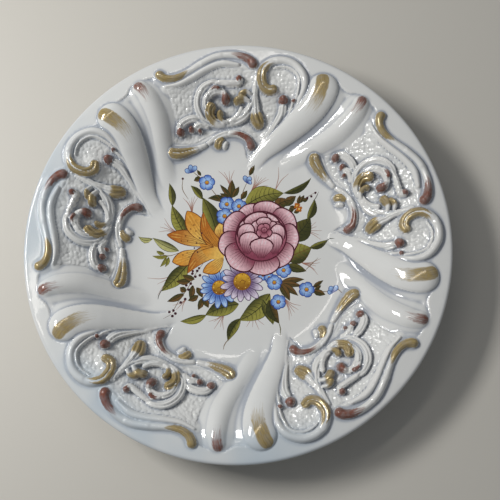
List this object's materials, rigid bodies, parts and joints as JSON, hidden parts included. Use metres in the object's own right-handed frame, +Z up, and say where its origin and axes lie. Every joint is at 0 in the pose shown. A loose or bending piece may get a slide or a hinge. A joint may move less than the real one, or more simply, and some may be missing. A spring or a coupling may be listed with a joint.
{
  "type": "decorative plate",
  "caption": "Round cast ceramic show plate with a deep well, a relief border of scrolls, leaves and swirling lobes, and a painted bouquet.",
  "frame": {"origin": "middle of the foot ring's underside, at the lowest point of the plate", "axes": "+Z up out of the well, square to the foot ring; +Y towards the plate's top in the picture, +X to its right"},
  "size_m": [0.4, 0.4, 0.0592],
  "materials": {
    "glaze": "glossy white glaze, painted over in gold, maroon and flower colours"
  },
  "bodies": {
    "root": {"plate": "glaze"}
  },
  "joints": []
}
